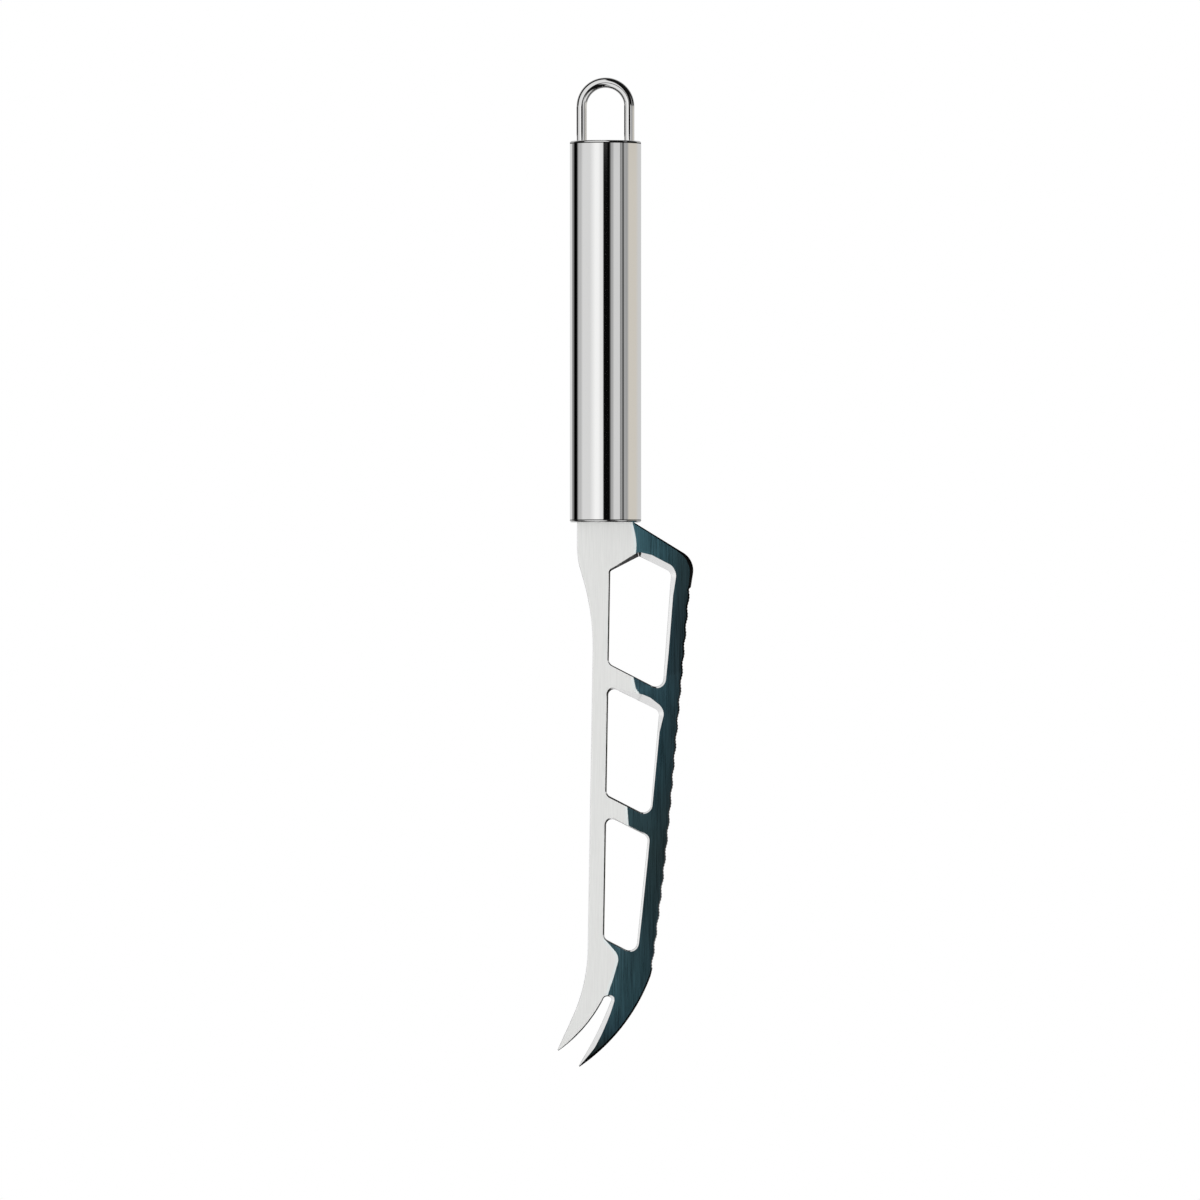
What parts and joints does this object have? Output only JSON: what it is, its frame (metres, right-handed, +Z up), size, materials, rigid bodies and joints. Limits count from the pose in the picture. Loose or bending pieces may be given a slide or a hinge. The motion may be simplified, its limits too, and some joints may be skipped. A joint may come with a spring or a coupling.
{
  "type": "cheese knife",
  "caption": "Cheese knife with a round tubular steel handle, a wire hanging loop and a serrated blade with windows and a forked tip.",
  "frame": {"origin": "on the handle's axis, at the tube's end by the blade", "axes": "+Z up the handle towards the loop, +X towards the cutting edge, -Y out of the blade's front face"},
  "size_m": [0.0345, 0.018, 0.2498],
  "materials": {
    "blade_steel": "satin sheet with a darker ground face, lengthwise grinding lines",
    "tube_steel": "mirror polished stainless steel tube",
    "cap_steel": "polished drawn sheet",
    "wire_steel": "polished round wire",
    "weld_steel": "weld bead, hidden inside the handle"
  },
  "bodies": {
    "root": {"blade": "blade_steel", "handle_tube": "tube_steel", "front_cap": "cap_steel", "end_cap": "cap_steel", "hanging_loop": "wire_steel", "tang_weld": "weld_steel", "loop_weld_left": "weld_steel", "loop_weld_right": "weld_steel"}
  },
  "joints": []
}
